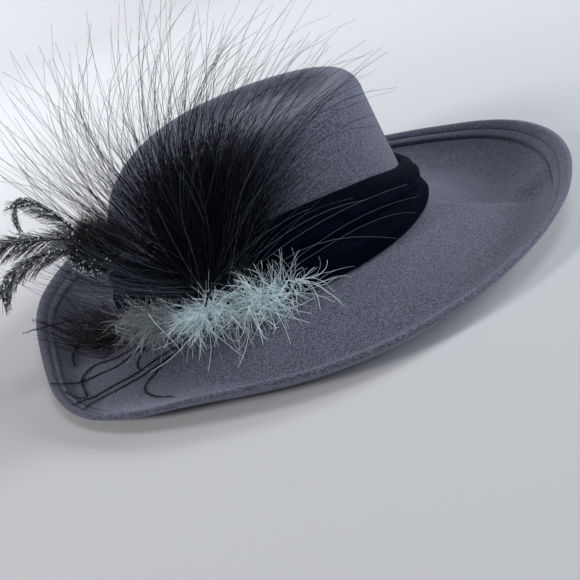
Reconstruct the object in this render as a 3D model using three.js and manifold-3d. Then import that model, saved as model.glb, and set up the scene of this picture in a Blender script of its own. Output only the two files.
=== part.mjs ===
// A lady's wide-brimmed wool felt hat with a draped velvet band and a feather trim.
//
// Units are millimetres, +Z is up and +X is the front of the hat. The shapes are worked out
// round the crown's own axis, with z = 0 where the brim's gutter rests, and the finished hat is
// then moved so that its origin is the middle of its footprint. Angles run round the crown from
// the front (0) by the wearer's left (90) to the back (180) and the right side (270).

import * as THREE from 'three';
import { mergeVertices } from 'three/addons/utils/BufferGeometryUtils.js';
import Module from 'manifold-3d';

const wasm = await Module();
wasm.setup();

// Driving dimensions of the felt
const feltThickness = 2.2;
const openingHalfLength = 100; // outside of the crown's felt where it meets the brim
const openingHalfWidth = 85;
const openingHeight = 18; // the crown's foot above the gutter of the brim
const roundSteps = 72;

// Driving dimensions of the brim
const gutter = { start: 0.4, end: 0.52, fall: 1.5, climb: 1.6 }; // as shares of the brim's width
const sideGutter = { start: 0.62, end: 0.68, fall: 1, climb: 1.4 }; // where it stays high by the crown
const highSide = { front: 17, frontFade: 9, back: 105, backFade: 50 }; // degrees to the right
const collarHeight = 8; // upstand of the brim round the crown's foot, under the band
const seatGap = 0.5;
const hemStitchLine = 0.58; // from the rim, as a share of the hem's width
const hemStep = 0.4;
const hemDepth = 1.5;
const stitchSink = 0.7;

// Width of the brim, rise of its rim over the gutter and width of its hem, round the hat
const brimRows = [
  { angle: 0, width: 98, rise: 25, hem: 12 },
  { angle: 30, width: 96, rise: 18, hem: 12 },
  { angle: 60, width: 94, rise: 17, hem: 12 },
  { angle: 90, width: 90, rise: 24, hem: 12 },
  { angle: 120, width: 83, rise: 30, hem: 10.5 },
  { angle: 150, width: 70, rise: 26, hem: 8.5 },
  { angle: 180, width: 60, rise: 15, hem: 8 },
  { angle: 210, width: 76, rise: 7, hem: 8.5 },
  { angle: 240, width: 81, rise: 16, hem: 10.5 },
  { angle: 270, width: 91, rise: 16, hem: 12 },
  { angle: 300, width: 94, rise: 20, hem: 12 },
  { angle: 330, width: 96, rise: 26, hem: 12 },
];

// The crown's wall and shoulder, round the hat
const crownRows = [
  { angle: 0, lean: 15, height: 94, shoulderIn: 12, shoulderDrop: 14 },
  { angle: 90, lean: 6, height: 91, shoulderIn: 20, shoulderDrop: 18 },
  { angle: 180, lean: 8, height: 82, shoulderIn: 44, shoulderDrop: 36 },
  { angle: 270, lean: 6, height: 91, shoulderIn: 20, shoulderDrop: 18 },
];
const dentDepth = 8; // of the shallow oval dent in the tip of the crown
const dentRamp = 0.3; // width of the dent's slope, as a share of the tip's radius

// Value of one column of a table with evenly spaced angles, as a smooth closed curve
function around(rows, column, degrees) {
  const step = 360 / rows.length;
  const place = (((degrees % 360) + 360) % 360) / step;
  const index = Math.floor(place);
  const t = place - index;
  const [a, b, c, d] = [-1, 0, 1, 2].map((k) => rows[(index + k + rows.length) % rows.length][column]);
  return b + 0.5 * t * (c - a + t * (2 * a - 5 * b + 4 * c - d + t * (3 * (b - c) + d - a)));
}

const radians = THREE.MathUtils.degToRad;

// Point at a distance outside the opening's oval, at an angle round it
function ovalPoint(degrees, outside, z) {
  const c = Math.cos(radians(degrees));
  const s = Math.sin(radians(degrees));
  const normal = new THREE.Vector2(c / openingHalfLength, s / openingHalfWidth).normalize();
  return new THREE.Vector3(
    openingHalfLength * c + normal.x * outside,
    openingHalfWidth * s + normal.y * outside,
    z,
  );
}

// Closed ring or bowl: a lathe whose points are then placed by a function of row and angle.
// onAxis says that the first and last rows meet the axis.
function turned(rowCount, onAxis, place) {
  const rows = [];
  for (let row = 0; row < rowCount; row += 1) {
    const edge = onAxis && (row === 0 || row === rowCount - 1);
    rows.push(new THREE.Vector2(edge ? 0 : 1, row));
  }
  if (!onAxis) {
    rows.push(rows[0].clone());
  }
  const geometry = new THREE.LatheGeometry(rows, roundSteps);
  const position = geometry.attributes.position;
  for (let i = 0; i < position.count; i += 1) {
    const row = (i % rows.length) % rowCount;
    const step = Math.floor(i / rows.length) % roundSteps;
    const point = place(row, (step * 360) / roundSteps);
    position.setXYZ(i, point.x, point.y, point.z);
  }
  geometry.deleteAttribute('normal');
  geometry.deleteAttribute('uv');
  return geometry;
}

// 1 on the right side, where the brim stays high beside the crown, and 0 at the front and back
function shoulder(degrees) {
  const { smoothstep } = THREE.MathUtils;
  const right = (((-degrees % 360) + 540) % 360) - 180;
  const fromFront = smoothstep(right, highSide.front, highSide.front + highSide.frontFade);
  return fromFront * (1 - smoothstep(right, highSide.back, highSide.back + highSide.backFade));
}

// Height of the brim's underside at a share of its width
function undersideHeight(share, rise, high) {
  const [start, end, fall, climb] = ['start', 'end', 'fall', 'climb'].map(
    (column) => gutter[column] + (sideGutter[column] - gutter[column]) * high,
  );
  const inner = openingHeight * Math.max(0, 1 - share / start) ** fall;
  return inner + rise * Math.max(0, (share - end) / (1 - end)) ** climb;
}

// Point on or over the brim's underside, at a distance from the crown's foot
function brimPoint(degrees, distance, above) {
  const width = around(brimRows, 'width', degrees);
  const rise = around(brimRows, 'rise', degrees);
  const high = shoulder(degrees);
  const height = (d) => undersideHeight(d / width, rise, high);
  const slope = height(distance + 0.5) - height(distance - 0.5);
  const tilt = Math.atan(slope);
  const outside = seatGap + distance - above * Math.sin(tilt);
  return ovalPoint(degrees, outside, height(distance) + above * Math.cos(tilt));
}

function makeBrim() {
  const width = (a) => around(brimRows, 'width', a);
  const hem = (a) => around(brimRows, 'hem', a);
  const shares = [0.05, 0.2, gutter.start, gutter.end, sideGutter.start, 0.7, 0.82];
  // From the rim: so many hem widths and so much more, and the height over the underside
  const hemRows = [
    { hems: 1, more: hemStep, above: feltThickness },
    { hems: 1, more: -hemStep, above: feltThickness + hemDepth },
    { hems: hemStitchLine, more: 0.6, above: feltThickness + hemDepth },
    { hems: hemStitchLine, more: 0, above: feltThickness + hemDepth - stitchSink },
    { hems: hemStitchLine, more: -0.6, above: feltThickness + hemDepth },
    { hems: 0, more: 1.2, above: feltThickness + hemDepth },
    { hems: 0, more: 0, above: (feltThickness + hemDepth) / 2 },
    { hems: 0, more: 0.8, above: 0 },
  ];
  const places = [
    (a) => ovalPoint(a, seatGap, openingHeight + collarHeight),
    (a) => ovalPoint(a, seatGap + feltThickness * 0.8, openingHeight + collarHeight),
    (a) => ovalPoint(a, seatGap + feltThickness, openingHeight + feltThickness + 1),
  ];
  for (const share of shares) {
    places.push((a) => brimPoint(a, share * width(a), feltThickness));
  }
  for (const row of hemRows) {
    places.push((a) => brimPoint(a, width(a) - hem(a) * row.hems - row.more, row.above));
  }
  for (const share of [...shares].reverse()) {
    places.push((a) => brimPoint(a, share * width(a), 0));
  }
  places.push((a) => ovalPoint(a, seatGap, openingHeight));
  places.reverse();
  return turned(places.length, false, (row, angle) => places[row](angle));
}

// Outer surface of the crown: level 0 is the foot, 1 the top of the wall, 2 the inner edge of
// the shoulder and 3 the middle of the tip
function crownPoint(degrees, level) {
  const lean = around(crownRows, 'lean', degrees);
  const height = around(crownRows, 'height', degrees);
  const shoulderIn = around(crownRows, 'shoulderIn', degrees);
  const shoulderDrop = around(crownRows, 'shoulderDrop', degrees);
  const wallHeight = height - shoulderDrop;
  const foot = openingHeight + 0.3;
  if (level <= 1) {
    const inward = -lean * level ** 0.85;
    return ovalPoint(degrees, inward, foot + wallHeight * level);
  }
  if (level <= 2) {
    const turn = radians(90 * (level - 1));
    const inward = -lean - shoulderIn * (1 - Math.cos(turn));
    return ovalPoint(degrees, inward, foot + wallHeight + shoulderDrop * Math.sin(turn));
  }
  const edge = ovalPoint(degrees, -lean - shoulderIn, foot + height);
  const share = 3 - level;
  const middle = foot + (around(crownRows, 'height', 90) + around(crownRows, 'height', 270)) / 2;
  const dent = THREE.MathUtils.smoothstep(1 - share, 0.03, 0.03 + dentRamp) * dentDepth;
  return new THREE.Vector3(edge.x * share, edge.y * share, middle + (edge.z - middle) * share - dent);
}

// Point a distance inside the crown's outer surface
function crownInside(degrees, level, depth) {
  const point = crownPoint(degrees, level);
  if (level === 3) {
    return point.sub(new THREE.Vector3(0, 0, depth));
  }
  const below = crownPoint(degrees, Math.max(level - 0.01, 0));
  const along = crownPoint(degrees, Math.min(level + 0.01, 3)).sub(below);
  const round = crownPoint(degrees + 0.5, level).sub(crownPoint(degrees - 0.5, level));
  const outward = round.cross(along).normalize();
  return point.sub(outward.multiplyScalar(depth));
}

function makeCrown() {
  const levels = [0, 0.35, 0.7, 1, 1.25, 1.5, 1.75, 2, 2.2, 2.35, 2.55, 3];
  const innerLevels = [0, 0.5, 1, 1.4, 1.8, 2.2, 2.5, 3];
  const places = [];
  for (const level of [...innerLevels].reverse()) {
    places.push((a) => {
      const point = crownInside(a, level, feltThickness);
      return level === 0 ? point.setZ(openingHeight + 0.3) : point;
    });
  }
  for (const level of levels) {
    places.push((a) => crownPoint(a, level));
  }
  return turned(places.length, true, (row, angle) => places[row](angle));
}

// Height of the band's top edge over the brim, round the hat
const bandHeights = [
  { angle: 0, height: 27 },
  { angle: 30, height: 28 },
  { angle: 60, height: 36 },
  { angle: 90, height: 42 },
  { angle: 120, height: 42 },
  { angle: 150, height: 41 },
  { angle: 180, height: 40 },
  { angle: 210, height: 41 },
  { angle: 240, height: 44.5 },
  { angle: 270, height: 48.5 },
  { angle: 300, height: 43 },
  { angle: 330, height: 31.5 },
];

// The band's two folds, from its foot up: how far the velvet stands off the felt
const bandFolds = [
  { share: 0, bulge: 4.6 },
  { share: 0.08, bulge: 6.8 },
  { share: 0.2, bulge: 7.6 },
  { share: 0.34, bulge: 6.4 },
  { share: 0.43, bulge: 4.4 },
  { share: 0.53, bulge: 6.8 },
  { share: 0.74, bulge: 6.8 },
  { share: 0.95, bulge: 3.8 },
  { share: 1, bulge: 1.6 },
];
const bandFloor = feltThickness + 0.3; // the band's foot over the opening's height
const frontFullness = 0.3; // how much further the folds stand off at the front
const bandTuck = 1.6; // rise of its inner edge, where the felt curves up
const bandClearance = 0.7;

// Point off the crown's wall, at a height over its foot
function crownSide(degrees, aboveFoot, off) {
  const wall = around(crownRows, 'height', degrees) - around(crownRows, 'shoulderDrop', degrees);
  const point = crownPoint(degrees, aboveFoot / wall);
  const push = ovalPoint(degrees, off, 0).sub(ovalPoint(degrees, 0, 0));
  return point.add(push);
}

function makeBand() {
  const top = (a) => around(bandHeights, 'height', a);
  const overCollar = seatGap + feltThickness + bandClearance;
  const upOutside = bandFolds.map((fold) => (a) => {
    const full = 1 + frontFullness * Math.max(0, Math.cos(radians(a)));
    return crownSide(a, bandFloor + (top(a) - bandFloor) * fold.share, fold.bulge * full);
  });
  const downInside = [
    (a) => crownSide(a, top(a) - 1, bandClearance),
    (a) => crownSide(a, top(a) * 0.6, bandClearance),
    (a) => crownSide(a, collarHeight + 2.5, bandClearance),
    (a) => ovalPoint(a, overCollar, openingHeight + collarHeight + 1),
    (a) => ovalPoint(a, overCollar, openingHeight + bandFloor + bandTuck),
  ];
  const places = [...upOutside, ...downInside];
  return turned(places.length, false, (row, angle) => places[row](angle));
}

// A lock of feather: a closed tapering blade along a curve. Its width lies across the curve
// and the side vector, its thickness along the side vector.
function lock(points, { sections, sides, halfWidth, halfThickness, side }) {
  const path = new THREE.CatmullRomCurve3(points);
  const geometry = new THREE.CylinderGeometry(1, 1, 1, sides, sections);
  const position = geometry.attributes.position;
  for (let i = 0; i < position.count; i += 1) {
    const along = 0.5 - position.getY(i);
    const tangent = path.getTangent(along);
    const across = new THREE.Vector3().crossVectors(side, tangent).normalize();
    const through = new THREE.Vector3().crossVectors(tangent, across);
    const point = path.getPoint(along);
    point.addScaledVector(across, position.getX(i) * halfWidth(along));
    point.addScaledVector(through, position.getZ(i) * halfThickness(along));
    position.setXYZ(i, point.x, point.y, point.z);
  }
  return geometry;
}

// One closed solid from several that overlap
function fused(geometries) {
  let whole = null;
  for (const geometry of geometries) {
    const plain = geometry.clone();
    plain.deleteAttribute('normal');
    plain.deleteAttribute('uv');
    const merged = mergeVertices(plain, 1e-4);
    const mesh = new wasm.Mesh({
      numProp: 3,
      vertProperties: new Float32Array(merged.attributes.position.array),
      triVerts: new Uint32Array(merged.index.array),
    });
    const solid = new wasm.Manifold(mesh);
    whole = whole ? whole.add(solid) : solid;
  }
  const result = whole.getMesh();
  const geometry = new THREE.BufferGeometry();
  geometry.setAttribute('position', new THREE.BufferAttribute(result.vertProperties, 3));
  geometry.setIndex(new THREE.BufferAttribute(result.triVerts, 1));
  return geometry;
}

// The fan of fine black feathers stands on a small head beside the band
const burstRoot = { angle: 234, outside: 8.9, height: 48, radius: 5.2 };
const fanLean = { out: 13, moreAtFront: 9, stagger: 5 }; // how far the fan tips out from the crown
const lockWidth = { root: 3, belly: 6.5, taper: 2.6 };
const lockThickness = { root: 4, tip: 0.4 };

// Lean of each lock of the fan towards the front, in degrees, and its reach
const burstLocks = [
  { lean: -42, reach: 84 },
  { lean: -33, reach: 120 },
  { lean: -24, reach: 136 },
  { lean: -15, reach: 150 },
  { lean: -6, reach: 138 },
  { lean: 3, reach: 144 },
  { lean: 12, reach: 136 },
  { lean: 21, reach: 146 },
  { lean: 30, reach: 134 },
  { lean: 39, reach: 140 },
  { lean: 48, reach: 148 },
  { lean: 57, reach: 152 },
  { lean: 65, reach: 146 },
  { lean: 74, reach: 104 },
];

function makeBurst() {
  const root = ovalPoint(burstRoot.angle, burstRoot.outside, burstRoot.height);
  const pieces = [new THREE.SphereGeometry(burstRoot.radius, 8, 6).translate(root.x, root.y, root.z)];
  burstLocks.forEach(({ lean, reach }, index) => {
    const forward = Math.sin(radians(lean)) * reach;
    const up = Math.cos(radians(lean)) * reach;
    const out = fanLean.out + fanLean.moreAtFront * Math.max(0, Math.sin(radians(lean)));
    const stagger = index % 2 === 0 ? fanLean.stagger : 0;
    const points = [
      root.clone(),
      root.clone().add(new THREE.Vector3(forward * 0.4, -out, up * 0.42)),
      root.clone().add(new THREE.Vector3(forward, -out - stagger, up)),
    ];
    const belly = (t) => Math.sin(Math.PI * Math.min(1, t * 1.25)) ** 0.8;
    pieces.push(lock(points, {
      sections: 4,
      sides: 4,
      halfWidth: (t) => lockWidth.root + lockWidth.belly * belly(t) - lockWidth.taper * t,
      halfThickness: (t) => lockThickness.tip + (lockThickness.root - lockThickness.tip) * (1 - t),
      side: new THREE.Vector3(0, 1, 0),
    }));
  });
  return fused(pieces);
}

// The icy blue down along the foot of the band, with stubby locks all along it
const downPath = { from: 270, to: 199, outside: 18.1, height: 31 };
const downRadius = 12;
const downEnd = 1.5;
const downTallness = 1.08;
const stubs = { count: 30, radius: 6, reach: 7, more: 4 };

// Lift over the level and sweep along the tuft of the stub locks, in turn
const stubTurns = [
  { lift: -38, sweep: 0.7 },
  { lift: 22, sweep: -0.5 },
  { lift: -10, sweep: 0.25 },
  { lift: 48, sweep: 0.6 },
  { lift: -24, sweep: -0.8 },
  { lift: 8, sweep: 0 },
];

const downAngle = (share) => downPath.from + (downPath.to - downPath.from) * share;
const downPoint = (share) => ovalPoint(downAngle(share), downPath.outside, downPath.height);

function makeDown() {
  const size = (t) => downEnd + (downRadius - downEnd) * Math.sin(Math.PI * (0.06 + 0.88 * t)) ** 0.6;
  const core = lock([0, 0.17, 0.33, 0.5, 0.67, 0.83, 1].map(downPoint), {
    sections: 9,
    sides: 8,
    halfWidth: size,
    halfThickness: (t) => size(t) * downTallness,
    side: new THREE.Vector3(0, 0, 1),
  });
  const pieces = [core];
  for (let i = 0; i < stubs.count; i += 1) {
    const share = (i + 0.5) / stubs.count;
    const { lift, sweep } = stubTurns[i % stubTurns.length];
    const outward = ovalPoint(downAngle(share), 1, 0).sub(ovalPoint(downAngle(share), 0, 0));
    const along = downPoint(share + 0.01).sub(downPoint(share - 0.01)).normalize();
    const direction = outward.multiplyScalar(Math.cos(radians(lift)));
    direction.z += Math.sin(radians(lift));
    direction.addScaledVector(along, sweep).normalize();
    const reach = size(share) + stubs.reach + ((i * 7) % (stubs.more + 1));
    const cone = new THREE.ConeGeometry(stubs.radius, reach, 4).translate(0, reach / 2, 0);
    cone.applyQuaternion(new THREE.Quaternion().setFromUnitVectors(new THREE.Vector3(0, 1, 0), direction));
    const base = downPoint(share);
    pieces.push(cone.translate(base.x, base.y, base.z));
  }
  return fused(pieces);
}

// The black herl on the near back of the brim, as [angle, distance from the crown, height of
// its middle over the felt]
const herlRadius = 1.1;
const herlRest = 2.5;
const herlRoutes = [
  [[203, 15, 3], [196, 18, herlRest], [189.5, 23, herlRest], [187, 32, herlRest], [190, 42, herlRest],
    [195, 49, herlRest]],
  [[203, 15, 3], [196, 25, herlRest], [193.6, 37, herlRest], [194.4, 50, herlRest]],
  [[220, 15, 3], [213, 19, herlRest], [207, 27, herlRest], [204, 41, herlRest], [204.4, 57, herlRest]],
  [[226, 17, 3], [219, 23, herlRest], [212, 34, herlRest], [209, 46, herlRest], [208.5, 58, herlRest]],
  [[226, 17, 3], [219, 23, herlRest], [216, 30, herlRest], [217, 39, herlRest], [221, 47, herlRest],
    [226, 50, herlRest]],
  [[192, 15, 3], [182, 17, 3], [173, 22, herlRest], [168.5, 31, herlRest], [170, 39, herlRest],
    [177, 44, herlRest]],
  [[192, 15, 3], [188, 22, 12], [184, 32, 22], [183, 46, 28], [184, 62, 25], [185, 74, 18]],
];
const herlBacking = [[233, 17, 3.6], [224, 17, 3.6], [214, 16, 3.6], [202, 16, 3.6], [190, 16, 3.6]];

function makeHerl() {
  const onBrim = ([angle, distance, above]) => brimPoint(angle, distance, feltThickness + above);
  const side = new THREE.Vector3(0, 0, 1);
  const backing = lock(herlBacking.map(onBrim), {
    sections: 8,
    sides: 6,
    halfWidth: () => herlRadius * 2.4,
    halfThickness: () => herlRadius * 2,
    side,
  });
  const strands = herlRoutes.map((route) => lock(route.map(onBrim), {
    sections: 2 * route.length,
    sides: 4,
    halfWidth: () => herlRadius,
    halfThickness: () => herlRadius,
    side,
  }));
  return fused([backing, ...strands]);
}

// The black down pad behind the crown, over the band, that the curled fronds come out of
const padPlace = { angle: 196, level: 1.15 };
const padSize = { across: 17, through: 17, tall: 16 }; // half sizes
const padRuffle = 0.09;

function padCentre() {
  const wall = crownPoint(padPlace.angle, padPlace.level);
  const outward = ovalPoint(padPlace.angle, 1, 0).sub(ovalPoint(padPlace.angle, 0, 0));
  return wall.addScaledVector(outward, padSize.through + 1);
}

function makePad() {
  const geometry = new THREE.SphereGeometry(1, 14, 9);
  const position = geometry.attributes.position;
  const centre = padCentre();
  for (let i = 0; i < position.count; i += 1) {
    const point = new THREE.Vector3().fromBufferAttribute(position, i);
    const ruffle = Math.sin(9 * Math.atan2(point.z, point.x)) * Math.sin(4 * point.y + 1);
    point.multiplyScalar(1 + padRuffle * ruffle);
    point.multiply(new THREE.Vector3(padSize.through, padSize.across, padSize.tall));
    position.setXYZ(i, point.x + centre.x, point.y + centre.y, point.z + centre.z);
  }
  return fused([geometry]);
}

// The curled fronds behind the hat, as [x, y, z] round the crown's axis
const frondRoutes = [
  [[-124, -28, 85], [-121, -28, 96], [-122, -28, 107], [-127, -29, 115], [-133, -29, 117], [-138, -28, 110]],
  [[-124, -28, 80], [-126, -28, 87], [-132, -29, 92], [-142, -29, 95], [-153, -30, 97], [-166, -31, 96]],
  [[-124, -27, 75], [-128, -28, 79], [-136, -28, 83], [-146, -29, 84], [-157, -30, 82], [-164, -30, 77]],
];

const frondHeart = { x: -124.5, y: -28, z: 80, radius: 3, halfHeight: 10 };
const frondWidth = { root: 1.4, belly: 4.2 };
const frondThickness = { root: 1.8, tip: 0.6 };

function makeFronds() {
  const { x, y, z, radius, halfHeight } = frondHeart;
  const heart = new THREE.SphereGeometry(1, 8, 6).scale(radius, radius, halfHeight);
  const pieces = [heart.translate(x, y, z)];
  for (const route of frondRoutes) {
    pieces.push(lock(route.map((p) => new THREE.Vector3(...p)), {
      sections: 9,
      sides: 4,
      halfWidth: (t) => frondWidth.root + frondWidth.belly * Math.sin(Math.PI * t) ** 0.7,
      halfThickness: (t) => frondThickness.tip + (frondThickness.root - frondThickness.tip) * (1 - t),
      side: new THREE.Vector3(0, 1, 0),
    }));
  }
  return fused(pieces);
}

const felt = new THREE.MeshStandardMaterial({ color: '#4a4855', roughness: 0.95, metalness: 0 });
const velvet = new THREE.MeshStandardMaterial({ color: '#0a0c14', roughness: 0.8, metalness: 0 });
const blackFeather = new THREE.MeshStandardMaterial({ color: '#0b0c10', roughness: 0.6, metalness: 0 });
const blueDown = new THREE.MeshStandardMaterial({ color: '#a9bcc6', roughness: 0.9, metalness: 0 });

const hat = new THREE.Group();

function add(name, geometry, material) {
  const mesh = new THREE.Mesh(geometry, material);
  mesh.name = name;
  hat.add(mesh);
  return mesh;
}

add('brim', makeBrim(), felt);
add('crown', makeCrown(), felt);
add('velvet_band', makeBand(), velvet);
add('feather_pad', makePad(), blackFeather);
add('plume_burst', makeBurst(), blackFeather);
add('marabou_tuft', makeDown(), blueDown);
add('herl_strands', makeHerl(), blackFeather);
add('curled_fronds', makeFronds(), blackFeather);

// The origin is the middle of the footprint, on the surface that the hat rests on
const footprint = new THREE.Box3().setFromObject(hat);
const middle = footprint.getCenter(new THREE.Vector3());
hat.position.set(-middle.x, -middle.y, -footprint.min.z);

export default hat;
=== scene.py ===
"""A lady's wide-brimmed wool felt hat with a draped velvet band and a feather trim.

Units are metres, +Z is up and +X is the front of the hat. Angles run round the crown from the
front (0) by the wearer's left (90) to the back (180) and the right side (270), where the trim is.
"""
import math

import bmesh
import bpy
import numpy as np
from mathutils import Matrix, Vector


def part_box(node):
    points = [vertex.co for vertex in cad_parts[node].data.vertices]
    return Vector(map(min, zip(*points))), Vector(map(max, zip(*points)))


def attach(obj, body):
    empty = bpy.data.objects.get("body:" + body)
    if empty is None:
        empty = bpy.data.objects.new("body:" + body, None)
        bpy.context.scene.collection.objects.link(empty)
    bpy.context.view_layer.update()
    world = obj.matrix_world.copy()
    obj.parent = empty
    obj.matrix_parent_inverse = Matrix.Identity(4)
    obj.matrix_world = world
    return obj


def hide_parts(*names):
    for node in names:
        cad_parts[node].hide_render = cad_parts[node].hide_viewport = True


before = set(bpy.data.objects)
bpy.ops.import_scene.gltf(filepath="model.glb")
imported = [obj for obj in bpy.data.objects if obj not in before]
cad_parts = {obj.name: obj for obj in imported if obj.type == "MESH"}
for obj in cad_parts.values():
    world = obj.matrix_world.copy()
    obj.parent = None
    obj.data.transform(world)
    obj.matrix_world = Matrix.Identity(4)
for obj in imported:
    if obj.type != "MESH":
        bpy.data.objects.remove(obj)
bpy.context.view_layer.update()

# The brim. One piece of blocked wool felt, dished so that it rests on a flat gutter and turns up
# to its rim, with a short collar that is sewn to the crown under the band. Its edge is folded
# up over the brim as a flat hem and stitched down.
crown_low, crown_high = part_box("crown")
AXIS = (crown_low + crown_high) / 2
MM = 0.001
# Lengths in millimetres, the gutters in shares of the brim's width, the shoulder in degrees
FELT = 2.2
OPENING = (100.0, 85.0)
OPENING_HEIGHT = 18.0
GUTTER = (0.4, 0.52)
SHOULDER = {"front": -17, "fade": 9, "back": -105, "back_fade": 50}
SHOULDER_GUTTER = (0.62, 0.68)
SEAT_GAP = 0.5
COLLAR = 8.0
COLLAR_THICK = 1.8
COLLAR_FOOT = 2.5
ROWS_ACROSS = 30
# Columns of millimetres, evenly spaced round the hat from its front
BRIM_WIDTH = [98, 96, 94, 90, 83, 70, 60, 76, 81, 91, 94, 96]
BRIM_RISE = [25, 18, 17, 24, 30, 26, 15, 7, 16, 16, 20, 26]
HEM_WIDTH = [12, 12, 12, 12, 10.5, 8.5, 8, 8.5, 10.5, 12, 12, 12]
# Where on the right side the hem is pressed flat, in degrees, and by what share
NEAR_HEM = {"from": 30, "to": 140, "fade": 30, "flat": 0.85}
# Slow waves of the felt towards the rim: height, how many go round the hat, and start
WAVER = [(0.5, 5, 1), (0.35, 11, 0), (0.2, 23, 2)]
HEM_ROWS = [
    # hem widths in from the rim, millimetres more, and height over the underside
    (1, 2.6, 2.2), (1, 1.7, 2.0), (1, 1.1, 1.3), (1, 0.5, 0.9), (1, 0.0, 1.2), (1, -0.1, 2.7),
    (1, -0.3, 3.6), (1, -0.7, 4.0), (1, -1.4, 4.1), (0.75, 0, 4.0), (0.58, 0.8, 3.85),
    (0.58, 0.35, 3.4), (0.58, 0, 2.7), (0.58, -0.35, 3.4), (0.58, -0.8, 3.85), (0.36, 0, 4.0),
    (0, 2.4, 3.95), (0, 1.3, 3.6), (0, 0.5, 3.0), (0, 0.05, 2.0), (0, 0.4, 0.9), (0, 1.3, 0.2),
    (0, 3.0, 0),
]


def spline(a, b, c, d, t):
    """The smooth curve from b to c, with a before them and d after them."""
    return b + 0.5 * t * (c - a + t * (2 * a - 5 * b + 4 * c - d + t * (3 * (b - c) + d - a)))


def around(column, angle):
    """The smooth closed curve through a column of evenly spaced values round the hat."""
    column = np.asarray(column, float)
    place = (np.degrees(angle) % 360) / (360 / len(column))
    index = np.floor(place).astype(int)
    four = [column[(index + k) % len(column)] for k in (-1, 0, 1, 2)]
    return spline(*four, place - index)


def oval(angle, outside, height):
    """Points in millimetres round the crown's axis, a distance outside the opening's oval."""
    across, along = np.cos(angle), np.sin(angle)
    normal = np.stack([across / OPENING[0], along / OPENING[1]], -1)
    normal /= np.linalg.norm(normal, axis=-1, keepdims=True)
    x = OPENING[0] * across + normal[..., 0] * outside
    y = OPENING[1] * along + normal[..., 1] * outside
    return np.stack(np.broadcast_arrays(x, y, height), -1)


def in_place(points):
    """Points in millimetres round the crown's axis, as metres in the hat's frame."""
    return points * MM + np.array([AXIS.x, AXIS.y, 0])


def ramp(value, low, high):
    """0 below low, 1 over high, and smooth between them."""
    t = np.clip((value - low) / (high - low), 0, 1)
    return t * t * (3 - 2 * t)


def shoulder(angle):
    """1 on the right side, where the brim stays high by the crown, and 0 at front and back."""
    degrees = (np.degrees(angle) + 180) % 360 - 180
    front, back = SHOULDER["front"], SHOULDER["back"]
    from_front = ramp(-degrees, -front, -front + SHOULDER["fade"])
    return from_front * ramp(degrees, back - SHOULDER["back_fade"], back)


def underside(share, rise, high):
    """Height of the brim's underside at a share of its width."""
    start = GUTTER[0] + (SHOULDER_GUTTER[0] - GUTTER[0]) * high
    end = GUTTER[1] + (SHOULDER_GUTTER[1] - GUTTER[1]) * high
    dish_power = 1.5 - 0.5 * high
    rise_power = 1.6 - 0.2 * high
    inner = OPENING_HEIGHT * np.clip(1 - share / start, 0, 1) ** dish_power
    outer = rise * np.clip((share - end) / (1 - end), 0, None) ** rise_power
    return inner + outer


def brim_point(angle, distance, above):
    """A point of the brim, a distance out from the crown and a height over its underside."""
    width = around(BRIM_WIDTH, angle)
    rise = around(BRIM_RISE, angle)
    high = shoulder(angle)
    farther = underside((distance + 0.5) / width, rise, high)
    nearer = underside((distance - 0.5) / width, rise, high)
    tilt = np.arctan(farther - nearer)
    height = underside(distance / width, rise, high) + above * np.cos(tilt)
    return oval(angle, SEAT_GAP + distance - above * np.sin(tilt), height)


def drawn_up(name, steps, rows, lay):
    """Draws a tube up from a circle, row by row, then lays each row in its place."""
    bpy.ops.object.select_all(action="DESELECT")
    bpy.ops.mesh.primitive_circle_add(vertices=steps, radius=1)
    piece = bpy.context.object
    piece.name = piece.data.name = name
    bpy.ops.object.mode_set(mode="EDIT")
    bpy.ops.mesh.select_all(action="SELECT")
    for _ in range(rows - 1):
        bpy.ops.mesh.extrude_edges_move(TRANSFORM_OT_translate={"value": (0, 0, 1)})
    bpy.ops.object.mode_set(mode="OBJECT")
    spots = np.empty(len(piece.data.vertices) * 3)
    piece.data.vertices.foreach_get("co", spots)
    spots = spots.reshape(-1, 3)
    row = np.rint(spots[:, 2]).astype(int)
    angle = np.arctan2(spots[:, 1], spots[:, 0])
    piece.data.vertices.foreach_set("co", in_place(lay(row, angle)).ravel())
    return piece


def closed_up(piece, smooth=math.radians(50)):
    """Welds meeting rows, turns the faces out and shades the piece smooth."""
    bpy.ops.object.mode_set(mode="EDIT")
    bpy.ops.mesh.select_all(action="SELECT")
    bpy.ops.mesh.remove_doubles(threshold=0.00002)
    bpy.ops.mesh.normals_make_consistent(inside=False)
    bpy.ops.object.mode_set(mode="OBJECT")
    bpy.ops.object.shade_smooth_by_angle(angle=smooth)


# Rows of the section: what its distance is measured in, the distance, and the height
brim_profile = [("collar", SEAT_GAP, COLLAR), ("collar", SEAT_GAP + COLLAR_THICK, COLLAR)]
brim_profile += [("collar", SEAT_GAP + FELT, FELT + COLLAR_FOOT)]
brim_profile += [("share", share, FELT) for share in np.linspace(0.03, 0.82, ROWS_ACROSS)]
brim_profile += [("hem %g" % hems, more, above) for hems, more, above in HEM_ROWS]
brim_profile += [("share", share, 0) for share in np.linspace(0.93, 0.0, ROWS_ACROSS)]
brim_profile += [("collar", SEAT_GAP, 0), ("collar", SEAT_GAP, COLLAR)]


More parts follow.
